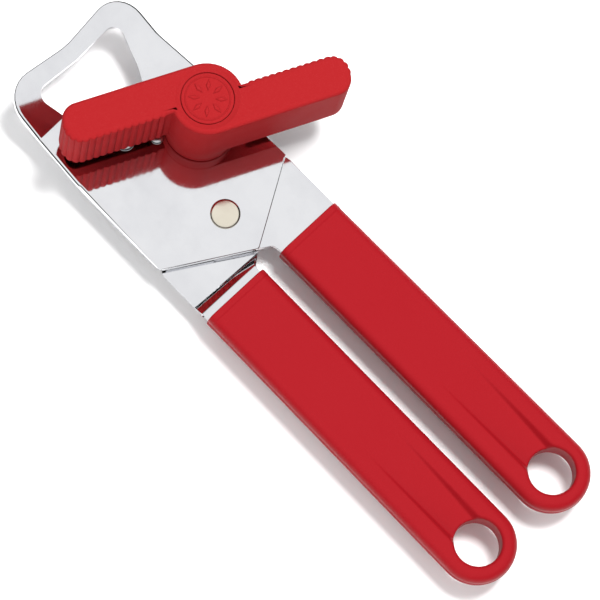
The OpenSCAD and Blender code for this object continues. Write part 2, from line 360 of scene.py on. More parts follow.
    @classmethod
    def merged_copy(cls, node: str, name: str) -> bpy.types.Object:
        """Copies a node of the frame as one clean surface.

        Args:
            node: Name of the node.
            name: Name of the new piece.

        Returns:
            The copy, with its points merged and its flat faces whole.
        """
        cls.clear()
        source = frame["nodes"][node]
        piece = bpy.data.objects.new(name, source.data.copy())
        bpy.context.scene.collection.objects.link(piece)
        piece.data.materials.clear()
        cls.pick(piece)
        if piece.data.has_custom_normals:
            bpy.ops.mesh.customdata_custom_splitnormals_clear()
        bpy.ops.object.mode_set(mode="EDIT")
        bpy.ops.mesh.select_all(action="SELECT")
        bpy.ops.mesh.remove_doubles(threshold=0.000001)
        bpy.ops.mesh.dissolve_limited(angle_limit=math.radians(0.5))
        bpy.ops.mesh.normals_make_consistent(inside=False)
        bpy.ops.object.mode_set(mode="OBJECT")
        return piece


class Finishes:
    """Makes the materials, and the node groups that they share."""

    plastic_ior: float = 1.47
    plastic_marks: float = 45.0
    metal_marks: float = 60.0

    def __init__(self) -> None:
        """Makes the node groups."""
        self.grain = self._grain()
        self.brush = self._brush()
        self.handling = self._handling()
        self.made: dict[str, bpy.types.Material] = {}

    @staticmethod
    def _group(name: str, inputs: list[tuple[str, str]],
               outputs: list[tuple[str, str]]) -> tuple[Tree, Node, Node]:
        """Starts a node group with named sockets.

        Args:
            name: Name of the group.
            inputs: Label and kind of each input.
            outputs: Label and kind of each output.

        Returns:
            The group, its input node and its output node.
        """
        group = bpy.data.node_groups.new(name, "ShaderNodeTree")
        for label, kind in inputs:
            group.interface.new_socket(label, in_out="INPUT", socket_type=kind)
        for label, kind in outputs:
            group.interface.new_socket(label, in_out="OUTPUT", socket_type=kind)
        give = group.nodes.new("NodeGroupInput")
        take = group.nodes.new("NodeGroupOutput")
        return group, give, take

    @staticmethod
    def _noise(tree: Tree, vector: Socket, scale: Socket | float, detail: float = 2.0,
               rough: float = 0.5) -> Socket:
        """Adds a noise texture, with a number or a socket as its scale.

        Args:
            tree: The tree it goes into.
            vector: Where the noise is read.
            scale: Its scale.
            detail: How many finer layers it has.
            rough: How strong the finer layers are.

        Returns:
            The noise, from 0 to 1.
        """
        noise = tree.nodes.new("ShaderNodeTexNoise")
        noise.inputs["Detail"].default_value = detail
        noise.inputs["Roughness"].default_value = rough
        tree.links.new(vector, noise.inputs["Vector"])
        if isinstance(scale, (int, float)):
            noise.inputs["Scale"].default_value = scale
        else:
            tree.links.new(scale, noise.inputs["Scale"])
        return noise.outputs["Fac"]

    @staticmethod
    def _map(tree: Tree, value: Socket, low: float, high: float, to_low: float = 0.0,
             to_high: float = 1.0) -> Socket:
        """Adds a clamped map range.

        Args:
            tree: The tree it goes into.
            value: The value that is mapped.
            low: The value that gives to_low.
            high: The value that gives to_high.
            to_low: Start of the result.
            to_high: End of the result.

        Returns:
            The mapped value.
        """
        node = tree.nodes.new("ShaderNodeMapRange")
        tree.links.new(value, node.inputs["Value"])
        for label, number in (("From Min", low), ("From Max", high), ("To Min", to_low),
                              ("To Max", to_high)):
            node.inputs[label].default_value = number
        return node.outputs["Result"]

    @staticmethod
    def _math(tree: Tree, kind: str, a: Socket | float, b: Socket | float) -> Socket:
        """Adds a math node on two sockets or numbers.

        Args:
            tree: The tree it goes into.
            kind: The operation.
            a: First value.
            b: Second value.

        Returns:
            The result.
        """
        node = tree.nodes.new("ShaderNodeMath")
        node.operation = kind
        for slot, value in zip(node.inputs, (a, b)):
            if isinstance(value, (int, float)):
                slot.default_value = value
            else:
                tree.links.new(value, slot)
        return node.outputs[0]

    def _grain(self) -> Tree:
        """Fine moulded grain: a height and a mask of lighter flecks.

        Returns:
            The node group.
        """
        group, give, take = self._group(
            "moulded_grain", [("Vector", "NodeSocketVector"), ("Scale", "NodeSocketFloat")],
            [("Height", "NodeSocketFloat"), ("Fleck", "NodeSocketFloat")])
        vector, scale = give.outputs["Vector"], give.outputs["Scale"]
        fine = self._noise(group, vector, scale, 2.0, 0.6)
        coarse = self._noise(group, vector, self._math(group, "MULTIPLY", scale, 0.37), 1.0)
        height = self._math(group, "ADD", fine, self._math(group, "MULTIPLY", coarse, 0.7))
        group.links.new(height, take.inputs["Height"])
        group.links.new(self._map(group, fine, 0.56, 0.72), take.inputs["Fleck"])
        return group

    def _brush(self) -> Tree:
        """Long polishing lines: a height and a mask.

        Returns:
            The node group.
        """
        group, give, take = self._group(
            "polishing_lines", [("Vector", "NodeSocketVector"), ("Frequency", "NodeSocketVector")],
            [("Height", "NodeSocketFloat"), ("Mask", "NodeSocketFloat")])
        stretch = group.nodes.new("ShaderNodeVectorMath")
        stretch.operation = "MULTIPLY"
        group.links.new(give.outputs["Vector"], stretch.inputs[0])
        group.links.new(give.outputs["Frequency"], stretch.inputs[1])
        lines = self._noise(group, stretch.outputs[0], 1.0, 3.0, 0.65)
        group.links.new(lines, take.inputs["Height"])
        group.links.new(self._map(group, lines, 0.35, 0.65), take.inputs["Mask"])
        return group

    def _handling(self) -> Tree:
        """Broad faint patches from handling, as a mask.

        Returns:
            The node group.
        """
        group, give, take = self._group(
            "handling_marks", [("Vector", "NodeSocketVector"), ("Scale", "NodeSocketFloat")],
            [("Mask", "NodeSocketFloat")])
        broad = self._noise(group, give.outputs["Vector"], give.outputs["Scale"], 4.0, 0.6)
        group.links.new(self._map(group, broad, 0.38, 0.66), take.inputs["Mask"])
        return group

    @staticmethod
    def _start(name: str) -> tuple[bpy.types.Material, Tree, Node, Socket]:
        """Starts a material and gives its tree, shader and object coordinates.

        Args:
            name: Name of the material.

        Returns:
            The material, its tree, its shader and the coordinates' socket.
        """
        material = bpy.data.materials.new(name)
        material.use_nodes = True
        tree = material.node_tree
        shader = tree.nodes["Principled BSDF"]
        coords = tree.nodes.new("ShaderNodeTexCoord").outputs["Object"]
        return material, tree, shader, coords

    @staticmethod
    def _use(tree: Tree, group: Tree, **values: Socket | float | tuple) -> Node:
        """Places a group in a material with its own values.

        Args:
            tree: The material's tree.
            group: The group to place.
            values: A number, a tuple or a socket for each of the group's inputs.

        Returns:
            The placed group.
        """
        node = tree.nodes.new("ShaderNodeGroup")
        node.node_tree = group
        for label, value in values.items():
            if isinstance(value, (int, float, tuple)):
                node.inputs[label].default_value = value
            else:
                tree.links.new(value, node.inputs[label])
        return node

    @staticmethod
    def _blend(tree: Tree, mask: Socket, low: Colour, high: Colour) -> Socket:
        """Mixes two colours by a mask.

        Args:
            tree: The material's tree.
            mask: 0 gives the low colour, 1 the high one.
            low: The low colour.
            high: The high colour.

        Returns:
            The mixed colour.
        """
        mix = tree.nodes.new("ShaderNodeMix")
        mix.data_type = "RGBA"
        mix.inputs["A"].default_value = (*low, 1.0)
        mix.inputs["B"].default_value = (*high, 1.0)
        tree.links.new(mask, mix.inputs["Factor"])
        return mix.outputs["Result"]

    @staticmethod
    def _relief(tree: Tree, shader: Node, height: Socket, metres: float) -> None:
        """Feeds a height into the shader's normal.

        Args:
            tree: The material's tree.
            shader: The shader.
            height: The height, from 0 to 1.
            metres: How high a height of 1 is.
        """
        bump = tree.nodes.new("ShaderNodeBump")
        bump.inputs["Strength"].default_value = 1.0
        bump.inputs["Distance"].default_value = metres
        tree.links.new(height, bump.inputs["Height"])
        tree.links.new(bump.outputs["Normal"], shader.inputs["Normal"])

    def plastic(self, finish: PlasticFinish) -> bpy.types.Material:
        """Makes a moulded plastic.

        Args:
            finish: Its colours, sheen and grain.

        Returns:
            The material.
        """
        if finish.name in self.made:
            return self.made[finish.name]
        material, tree, shader, coords = self._start(finish.name)
        grain = self._use(tree, self.grain, Vector=coords, Scale=finish.grain_per_m)
        marks = self._use(tree, self.handling, Vector=coords, Scale=self.plastic_marks)
        share = self._math(tree, "MULTIPLY", grain.outputs["Fleck"], finish.fleck_share)
        tree.links.new(self._blend(tree, share, finish.body, finish.fleck),
                       shader.inputs["Base Color"])
        low, high, specular = finish.sheen.value
        tree.links.new(self._map(tree, marks.outputs["Mask"], 0.0, 1.0, low, high),
                       shader.inputs["Roughness"])
        self._relief(tree, shader, grain.outputs["Height"], finish.grain_height)
        shader.inputs["IOR"].default_value = self.plastic_ior
        shader.inputs["Specular IOR Level"].default_value = specular
        self.made[finish.name] = material
        return material

    def metal(self, finish: MetalFinish) -> bpy.types.Material:
        """Makes a metal.

        Args:
            finish: Its colours, roughness and brushing.

        Returns:
            The material.
        """
        if finish.name in self.made:
            return self.made[finish.name]
        material, tree, shader, coords = self._start(finish.name)
        lines = self._use(tree, self.brush, Vector=coords, Frequency=finish.brush_along)
        marks = self._use(tree, self.handling, Vector=coords, Scale=self.metal_marks)
        tree.links.new(self._blend(tree, marks.outputs["Mask"], finish.bright, finish.dull),
                       shader.inputs["Base Color"])
        both = self._math(tree, "MULTIPLY", self._math(
            tree, "ADD", lines.outputs["Mask"], marks.outputs["Mask"]), 0.5)
        tree.links.new(self._map(tree, both, 0.0, 1.0, finish.rough_low, finish.rough_high),
                       shader.inputs["Roughness"])
        self._relief(tree, shader, lines.outputs["Height"], finish.brush_height)
        shader.inputs["Metallic"].default_value = 1.0
        self.made[finish.name] = material
        return material


@dataclass
class Sleeve:
    """One plastic handle sleeve, with a lip at its mouth and a thumb groove to its hole."""

    lever: Lever
    mouth_u: float = 20.1
    inner_v: float = 3.5
    outer_v: float = 27.0
    end_r: float = 12.1
    ridge: float = 0.12
    hole_r: float = 7.2
    top_z: float = 9.0
    round_r: float = 3.0
    rim_r: float = 1.3
    groove_from: float = 80.0
    groove_depth: float = 3.0
    groove_half: float = 6.1
    section_u: float = 109.0
    columns: int = 150

    def middle(self, u: float) -> float:
        """Gives v of the sleeve's middle line at u.

        Args:
            u: A place along the sleeve.

        Returns:
            The middle line's v.
        """
        share = min(1.0, (u - self.mouth_u) / (Drafting.hang_u - self.mouth_u))
        start = (self.inner_v + self.outer_v) / 2
        return start + (Drafting.hang_v - start) * share

    def half(self, u: float) -> float:
        """Gives half the sleeve's width at u, where its sides are straight.

        Args:
            u: A place along the sleeve.

        Returns:
            Half the width.
        """
        share = min(1.0, (u - self.mouth_u) / (Drafting.hang_u - self.mouth_u))
        start = (self.outer_v - self.inner_v) / 2
        return start + (self.end_r - start) * share - self.ridge

    def edge_distance(self, u: float, v: float) -> float:
        """Gives the distance from a point to the sleeve's outline.

        Args:
            u: The point's u.
            v: The point's v.

        Returns:
            The distance, above 0 inside.
        """
        if u > Drafting.hang_u:
            return self.end_r - self.ridge - self.from_hole(u, v)
        return self.half(u) - abs(v - self.middle(u))

    @staticmethod
    def from_hole(u: float, v: float) -> float:
        """Gives the distance from a point to the middle of the hanging hole."""
        return math.hypot(u - Drafting.hang_u, v - Drafting.hang_v)

    @staticmethod
    def fall(distance: float, radius: float) -> float:
        """Gives how far a rounded edge lies under the flat at a distance from its foot.

        Args:
            distance: Distance from the foot of the edge.
            radius: The edge's radius.

        Returns:
            The depth under the flat.
        """
        gap = radius - min(max(distance, 0.0), radius)
        return radius - math.sqrt(max(radius * radius - gap * gap, 0.0))

    @staticmethod
    def ease(x: float) -> float:
        """Gives a smooth step from 0 to 1.

        Args:
            x: Share of the way, clamped to 0 and 1.

        Returns:
            The eased share.
        """
        x = min(max(x, 0.0), 1.0)
        return x * x * (3 - 2 * x)

    def lip(self, u: float) -> float:
        """Gives the height of the raised band at the mouth."""
        return 0.3 * (1 - self.ease((u - self.mouth_u - 1.9) / 0.6))

    def groove(self, u: float, v: float) -> float:
        """Gives the depth of the thumb groove, which deepens towards the hole and ends there.

        Args:
            u: The point's u.
            v: The point's v.

        Returns:
            The depth, 0 outside the groove.
        """
        run = min(max((u - self.groove_from) / (Drafting.hang_u - self.groove_from), 0.0), 1.0)
        depth = self.groove_depth * run ** 1.3 * (1 - self.ease((u - Drafting.hang_u + 1) / 4))
        side = abs(v - self.middle(u))
        wall = 0.9 + 0.55 * depth
        return depth * (1 - self.ease((side - self.groove_half + wall) / wall))

    def top(self, u: float, v: float) -> float:
        """Gives the height of the upper face at a point.

        Args:
            u: The point's u.
            v: The point's v.

        Returns:
            The height z.
        """
        rim = self.from_hole(u, v) - self.hole_r
        fall = self.fall(self.edge_distance(u, v), self.round_r)
        groove = self.groove(u, v)
        return (self.top_z + self.lip(u) - fall - self.fall(u - self.mouth_u, 0.5)
                - groove - self.fall(rim, self.rim_r - 0.28 * groove))

    def under(self, u: float, v: float) -> float:
        """Gives the height of the lower face at a point.

        Args:
            u: The point's u.
            v: The point's v.

        Returns:
            The height z.
        """
        rim = self.from_hole(u, v) - self.hole_r
        return (self.fall(self.edge_distance(u, v), self.round_r) - self.lip(u)
                + self.fall(u - self.mouth_u, 0.5) + self.fall(rim, self.rim_r))

    def place(self, u: float, v: float, z: float) -> Vector:
        """Gives the frame's point for this lever's side."""
        return Drafting.at(u, v * self.lever.value, z)

    def _steps(self) -> list[float]:
        """Gives the rows across the sleeve, closer together at its edges and groove walls.

        Returns:
            Each row's share of the half width, from -1 to 1.
        """
        spots = [0.0, 0.03, 0.1, 0.22, 0.4, 0.62, 0.9, 1.25, 1.65, 2.1, 2.6, 3.1, 3.6, 4.1, 4.6,
                 5.0, 5.35, 5.65, 5.9, 6.15, 6.4, 6.65, 6.9, 7.15, 7.4, 7.7, 8.0, 8.3, 8.65,
                 9.05, 9.5, 10.0, 10.5, 11.1]
        side = [1 - d / 11.75 for d in spots]
        return [-t for t in side] + [0.0] + side[::-1]

    def build(self) -> bpy.types.Object:
        """Makes the sleeve.

        Returns:
            The sleeve, closed all round.
        """
        name = f"{self.lever.name.lower()}_sleeve"
        rows = self._steps()
        near = [0.0, 0.05, 0.12, 0.22, 0.35, 0.5, 0.9, 1.4, 1.9, 2.05, 2.2, 2.35, 2.5, 2.8]
        reach = self.section_u - self.mouth_u
        count = self.columns - len(near)
        columns = near + [2.8 + (reach - 2.8) * (k + 1) / count for k in range(count)]
        Bench.clear()
        bpy.ops.mesh.primitive_grid_add(x_subdivisions=len(columns) - 1,
                                        y_subdivisions=len(rows) - 1, size=2.0)
        skin = bpy.context.object
        for vert in skin.data.vertices:
            u = self.mouth_u + columns[round((vert.co.x + 1) / 2 * (len(columns) - 1))]
            t = rows[round((vert.co.y + 1) / 2 * (len(rows) - 1))]
            v = self.middle(u) + self.half(u) * t
            vert.co = self.place(u, v, self.top(u, v))
        end = Bench.stack(name + "_end", self._end_rings(rows), (False, False))
        piece = Bench.join(skin, end)
        piece.name = piece.data.name = name
        bpy.ops.object.mode_set(mode="EDIT")
        bpy.ops.mesh.select_all(action="SELECT")
        bpy.ops.mesh.remove_doubles(threshold=0.000008)
        self._thicken(piece)
        bpy.ops.mesh.select_all(action="SELECT")
        bpy.ops.mesh.normals_make_consistent(inside=False)
        bpy.ops.object.mode_set(mode="OBJECT")
        Bench.smooth(piece, 40.0)
        return piece

    def _end_rings(self, rows: list[float]) -> list[Ring]:
        """Gives rings from the hole out to the outline, joined to the rows of the shaft.

        Args:
            rows: The rows across the shaft.

        Returns:
            The rings, from the hole outwards.
        """
        u0, arc, sides = self.section_u, 72, 18
        middle = Vector((Drafting.hang_u, Drafting.hang_v))
        edge = [(u0, self.middle(u0) + self.half(u0) * t) for t in rows]
        run = Drafting.hang_u - u0
        edge += [(u0 + run * k / sides, self.middle(u0 + run * k / sides)
                  + self.half(u0 + run * k / sides)) for k in range(1, sides)]
        r = self.end_r - self.ridge
        edge += [(middle.x + r * math.sin(math.pi * k / arc),
                  middle.y + r * math.cos(math.pi * k / arc)) for k in range(arc + 1)]
        edge += [(u0 + run * k / sides, self.middle(u0 + run * k / sides)
                  - self.half(u0 + run * k / sides)) for k in range(sides - 1, 0, -1)]
        marks = [0, 0.02, 0.07, 0.16, 0.3, 0.48, 0.7, 0.95, 1.25, 1.6, 2.0, 2.4, 2.8, 3.2, 3.6,
                 3.95, 4.25, 4.47, 4.62, 4.71, 4.76, 4.78]
        rings = []
        for mark in marks:
            ring = []
            for u, v in edge:
                outer = Vector((u, v))
                inner = middle + (outer - middle).normalized() * self.hole_r
                p = inner.lerp(outer, mark / marks[-1])
                ring.append(self.place(p.x, p.y, self.top(p.x, p.y)))
            rings.append(ring)
        return rings

    def _thicken(self, piece: bpy.types.Object) -> None:
        """Extrudes the upper face down to the lower one, past the parting line.

        Args:
            piece: The upper face, in edit mode with all selected.
        """
        ridge = [(5.1, 0.0), (4.72, 0.0), (4.62, 0.11), (4.38, 0.11), (4.28, 0.0), (3.9, 0.0)]
        for level, out in ridge + [(None, 0.0)]:
            bpy.ops.mesh.extrude_region_move()
            mesh = bmesh.from_edit_mesh(piece.data)
            for vert in (w for w in mesh.verts if w.select):
                u, v, z = Drafting.back(vert.co)
                v *= self.lever.value
                gap = self.edge_distance(u, v)
                if abs(gap) < 0.2 and self.from_hole(u, v) > self.hole_r + 0.5:
                    side = (Vector((u - Drafting.hang_u, v - Drafting.hang_v)).normalized()
                            if u > Drafting.hang_u
                            else Vector((0.0, math.copysign(1.0, v - self.middle(u)))))
                    u, v = u + side.x * (gap + out), v + side.y * (gap + out)
                low = self.under(u, v)
                if level is None:
                    z = low
                else:
                    z = max(low, min(self.top(u, v), level))
                vert.co = self.place(u, v, z)
            bmesh.update_edit_mesh(piece.data)


@dataclass
class TurningKey:
    """The butterfly key: a round hub and two wings, ribbed on the sides that are pushed."""

    centre: tuple[float, float] = (-24.8, 13.4)
    angle: float = 65.3
    half_length: float = 43.6
    hub_r: float = 11.1
    smooth_n: float = 10.9
    rib_n: float = 1.5
    rib_r: float = 1.7
    rib_pitch: float = 2.2
    tip_r: float = 5.0
    top_z: float = 36.0
    wing_z: float = 14.0
    base_z: float = 7.05
    edge_r: float = 1.25
    dish_r: float = 9.75
    floor_z: float = 34.92
    ribs_from: float = 13.0

    def spot(self, x: float, y: float, z: float) -> Vector:
        """Gives the frame's point of a place along and across the key.

        Args:
            x: Millimetres from the hub along the wings.
            y: Millimetres across them.
            z: Height.

        Returns:
            The point in metres.
        """
        c, s = math.cos(math.radians(self.angle)), math.sin(math.radians(self.angle))
        return Drafting.at(self.centre[0] + c * x - s * y, self.centre[1] + s * x + c * y, z)

    def rib_height(self, along: float) -> float:
        """Gives the height of the ribs over their valleys at a distance along the grip.

        Args:
            along: Distance from the end of the straight grip.

        Returns:
            The height.
        """
        x = (along + self.rib_pitch / 2) % self.rib_pitch - self.rib_pitch / 2
        low = math.sqrt(self.rib_r ** 2 - (self.rib_pitch / 2) ** 2)
        return math.sqrt(self.rib_r ** 2 - x * x) - low

    def outline(self) -> list[tuple[Vector, Vector, float]]:
        """Gives points, outward normals and rib heights round the key, seen from above.

        Returns:
            Point, normal and rib height, all the way round.
        """
        peak = self.rib_r - math.sqrt(self.rib_r ** 2 - (self.rib_pitch / 2) ** 2)
        tip, low = self.half_length - peak, self.rib_n - peak
        r = self.hub_r
        arc0 = math.asin(low / r)
        corners = [(0.0, -r, 0.0), (tip, -self.smooth_n, 5.3), (tip, low, self.tip_r)]
        foot = Vector((r * math.cos(arc0), low))
        path = Drafting.rounded(corners + [(foot.x, foot.y, 0.0)], 0.16)
        end = min(range(len(path)), key=lambda i: (path[i] - foot).length)
        arc = [Vector((r * math.cos(t), r * math.sin(t))) for t in
               (arc0 + (math.pi / 2 - arc0) * k / 90 for k in range(1, 90))]
        half = path[:end + 1] + arc
        whole = half + [-p for p in half]
        result = []
        count = len(whole)
        bend = math.pi / 2 * self.tip_r
        grip_end = tip - self.tip_r
        for i, p in enumerate(whole):
            ahead, behind = whole[(i + 1) % count], whole[i - 1]
            a, b = (ahead - p).normalized(), (p - behind).normalized()
            mean = a + b
            normal = Vector((mean.y, -mean.x)).normalized()
            spread = max(0.35, normal.dot(Vector((a.y, -a.x))))
            q = p if i < count // 2 else -p
            along = None
            if abs(q.y - low) < 0.02 and self.ribs_from < q.x <= grip_end:
                along = grip_end - q.x
            elif q.x > grip_end and q.y > low - self.tip_r - 3.0:
                c = Vector((grip_end, low - self.tip_r))
                along = -self.tip_r * math.atan2(q.x - c.x, max(q.y - c.y, 0.0))
                if q.y < c.y:
                    along = -bend - (c.y - q.y)
            fade = 1.0
            if along is not None and along < 0:
                fade = min(1.0, max(0.0, (bend + 2.6 + along) / 1.2))
            if along is not None and along > 0:
                fade = min(1.0, max(0.0, (q.x - self.ribs_from) / 0.8))
            result.append((p, normal / spread if spread < 0.95 else normal,
                           0.0 if along is None else fade * self.rib_height(along)))
        return result

    def _turns(self, rim: list[Vector]) -> list[float]:
        """Spreads the points of the top's rim round the dish, so that no face folds over.

        Args:
            rim: The points of the rim, with the hub in the middle.

        Returns:
            The angle of each point on the dish.
        """
        half = len(rim) // 2
        near = self.hub_r - self.edge_r + 0.06
        notch = next(i for i in range(5, half) if rim[i].y > -1.5 and rim[i].length < near)
        run = [0.0]
        for i in range(notch):
            run.append(run[-1] + (rim[i + 1] - rim[i]).length)
        start, stop = -math.pi / 2, math.atan2(rim[notch].y, rim[notch].x)
        angles = [start + (stop - start) * x / run[-1] for x in run]
        angles += [math.atan2(p.y, p.x) for p in rim[notch + 1:half]]
        return angles + [a + math.pi for a in angles]

    def build(self) -> bpy.types.Object:
        """Makes the key.

        Returns:
            The key in one piece, cored from below.
        """
        points = self.outline()
        rings: list[Ring] = []

        def ring(inset: float, z: float, ribs: float) -> None:
            """Adds the outline at height z, moved in by inset, with a share of its ribs."""
            rings.append([self.spot(*(p + n * (h * ribs - inset)), z) for p, n, h in points])

        ring(0.35, self.wing_z, 1.0)
        ring(0.1, self.wing_z + 0.1, 1.0)
        ring(0.0, self.wing_z + 0.35, 1.0)
        ring(0.0, (self.wing_z + self.top_z) / 2, 1.0)
        for k in range(11):
            t = math.pi / 2 * k / 10
            inset = self.edge_r * (1 - math.cos(t))
            fade = max(0.0, 1.0 - (inset / self.edge_r) ** 0.8 * 1.15)
            ring(inset, self.top_z - self.edge_r + self.edge_r * math.sin(t), fade)
        turns = self._turns([p - n * self.edge_r for p, n, _ in points])
        for r, z in ((self.dish_r, self.top_z), (self.dish_r - 0.12, self.top_z - 0.03),
                     (self.dish_r - 0.25, self.top_z - 0.1), (8.15, self.floor_z + 0.6),
                     (8.0, self.floor_z + 0.02), (7.9, self.floor_z - 0.1),
                     (7.9, self.floor_z - 1.3)):
            rings.append([self.spot(r * math.cos(t), r * math.sin(t), z) for t in turns])
        key = Bench.stack("turning_key", rings)
        for side in (1, -1):
            Bench.carve(key, self._core(side))
        hub = Bench.lathe("hub", self.centre, [
            (10.2, self.base_z), (10.5, self.base_z + 0.08), (10.78, self.base_z + 0.3),
            (10.92, self.base_z + 0.65), (10.95, self.base_z + 1.0),
            (10.82, self.base_z + 1.5), (10.8, self.base_z + 2.2), (10.98, self.wing_z),
            (10.98, self.wing_z + 1.2)], 144)
        key = Bench.join(key, hub)
        Bench.smooth(key, 30.0)
        Bench.even(key)
        return key

    def _core(self, side: int) -> bpy.types.Object:
        """Makes the hollow under one wing, a shape to be cut away.

        Args:
            side: 1 or -1, for the wing.

        Returns:
            The closed shape.
        """
        wall, tip = 2.0, self.half_length - 2.5
        low = self.rib_n - 2.5
        path = Drafting.rounded([(12.6, low, 0.8), (12.6, wall - self.smooth_n, 0.8),
                                 (tip, wall - self.smooth_n, 3.4), (tip, low, 3.1)], 0.6)
        rings = [[self.spot(side * p.x, side * p.y, z) for p in path]
                 for z in (self.wing_z - 1, self.top_z - 2.6)]
        return Bench.stack("core", rings)


@dataclass
class KeyCap:
    """The disc in the key's top, with a plain embossed ring and rays."""

    key: TurningKey = field(default_factory=TurningKey)
    rays: int = 8

    def build(self) -> bpy.types.Object:
        """Makes the cap.

        Returns:
            The disc with its raised ring and rays.
        """
        z = self.key.floor_z
        profile = [(7.88, z - 0.9), (7.88, z + 0.42), (7.8, z + 0.52), (7.66, z + 0.56),
                   (6.95, z + 0.56), (6.87, z + 0.72), (6.7, z + 0.8), (6.53, z + 0.72),
                   (6.45, z + 0.56)]
        disc = Bench.lathe("key_medallion", self.key.centre, profile, 96)
        parts = [disc]
        for k in range(self.rays):
            parts.append(self._ray(self.key.angle + 360 * (k + 0.5) / self.rays, z + 0.5))
        piece = Bench.join(*parts)
        Bench.smooth(piece, 35.0)
        return piece

    def _ray(self, angle: float, z: float) -> bpy.types.Object:
        """Makes one raised kite-shaped ray.

        Args:
            angle: Its direction in degrees.
            z: Height of its foot.

        Returns:
            The ray.
        """
        a = math.radians(angle)
        out, across = Vector((math.cos(a), math.sin(a))), Vector((-math.sin(a), math.cos(a)))
        centre = Vector(self.key.centre)
        rings = []
        for grow, rise in ((1.0, 0.0), (1.0, 0.14), (0.6, 0.42)):
            ring = []
            for r, w in ((2.2, 0.0), (4.0, 0.75), (6.0, 0.0), (4.0, -0.75)):
                mid = 4.1 + (r - 4.1) * (0.35 + 0.65 * grow)
                p = centre + out * mid + across * w * grow
                ring.append(Drafting.at(p.x, p.y, z + rise))
            rings.append(ring)
        return Bench.stack("ray", rings)


@dataclass
class RivetHead:
    """A rivet, stud or nut turned from one bar, from its lower head to its upper one."""

    name: str
    node: str
    centre: tuple[float, float]
    profile: list[tuple[float, float]]
    turns: int = 96

    def build(self) -> bpy.types.Object:
        """Makes the turned piece.

        Returns:
            The rivet or stud.
        """
        piece = Bench.lathe(self.name, self.centre, self.profile, self.turns)
        Bench.smooth(piece, 28.0)
        return piece


@dataclass
class SheetPart:
    """A pressed sheet part, taken from its node with its edges broken."""

    name: str
    node: str
    edge_mm: float = 0.2

    def form(self, piece: bpy.types.Object) -> None:
        """Rounds the bends that this part has; a flat part has none.

        Args:
            piece: The copy of the node.
        """

    @staticmethod
    def roll(piece: bpy.types.Object, wanted: Callable[[float, float, float], bool],
             width_mm: float, segments: int) -> None:
        """Rounds the edges whose two ends pass a test.

        Args:
            piece: The piece to change.
            wanted: A test of u, v and z in millimetres.
            width_mm: Width of the rounding on each side.
            segments: Number of strips in the rounding.
        """
        Bench.pick(piece)
        bpy.ops.object.mode_set(mode="EDIT")
        bpy.ops.mesh.select_mode(type="EDGE")
        bpy.ops.mesh.select_all(action="DESELECT")
        mesh = bmesh.from_edit_mesh(piece.data)
        for edge in mesh.edges:
            sharp = len(edge.link_faces) == 2 and edge.calc_face_angle() > math.radians(15)
            edge.select_set(sharp and all(wanted(*Drafting.back(w.co)) for w in edge.verts))
        log.info("rolls %d edges", sum(edge.select for edge in mesh.edges))
        bmesh.update_edit_mesh(piece.data)
        bpy.ops.mesh.bevel(offset=width_mm * Drafting.mm, segments=segments, profile=0.5,
                           clamp_overlap=False)
        bpy.ops.object.mode_set(mode="OBJECT")

    def build(self) -> bpy.types.Object:
        """Makes the sheet part.

        Returns:
            The copy with its edges softened.
        """
        piece = Bench.merged_copy(self.node, self.name)
        self.form(piece)
        Bench.soften(piece, self.edge_mm, 40.0, 3)
        Bench.smooth(piece, 60.0)
        Bench.even(piece)
        return piece


@dataclass
class CoverSheet(SheetPart):
    """The head's cover: its rim is rolled over into the lips along its sides."""

    lip_v: float = 26.3
    rim_v: float = 26.49
    rim_roll: float = 1.25
    end_roll: float = 0.45
    crease_u: float = -54.2
    loop_bend: float = 22.0
    hole_v: float = 17.9
    hole_u: float = -67.3

    def form(self, piece: bpy.types.Object) -> None:
        """Sets the lips flush with the rim, then rolls the rim and the V-shaped end.

        Args:
            piece: The copy of the node.
        """
        for vert in piece.data.vertices:
            u, v, z = Drafting.back(vert.co)
            if abs(abs(v) - self.lip_v) < 0.1:
                vert.co = Drafting.at(u, math.copysign(self.rim_v, v), z)
        self.roll(piece, self._on_rim, self.rim_roll, 7)
        self.roll(piece, self._on_end, self.end_roll, 4)

    def _on_rim(self, u: float, v: float, z: float) -> bool:
        """Tells whether a point is on the upper outer edge, ahead of the V-shaped end.

        Args:
            u: The point's u.
            v: The point's v.
            z: The point's z.

        Returns:
            Whether it is.
        """
        rise = max(0.0, self.crease_u - u) * math.tan(math.radians(self.loop_bend))
        return z > 6.0 + rise and u < -1.9 and (abs(v) > self.hole_v or u < self.hole_u)

    @staticmethod
    def _on_end(u: float, v: float, z: float) -> bool:
        """Tells whether a point is on the upper edge of the V-shaped end."""
        return z > 6.7 and u > -1.0 and abs(v) < 26.0


@dataclass
class RearSheet(SheetPart):
    """The rear lever's sheet, with the step that lifts it to the handle's level."""

    step_roll: float = 0.7

    def form(self, piece: bpy.types.Object) -> None:
        """Rounds both ends of the step.

        Args:
            piece: The copy of the node.
        """
        self.roll(piece, self._on_step, self.step_roll, 4)

    @staticmethod
    def _on_step(u: float, v: float, z: float) -> bool:
        """Tells whether a point is at the start or the end of the step."""
        return 14.6 < u < 15.2 or 17.4 < u < 18.0


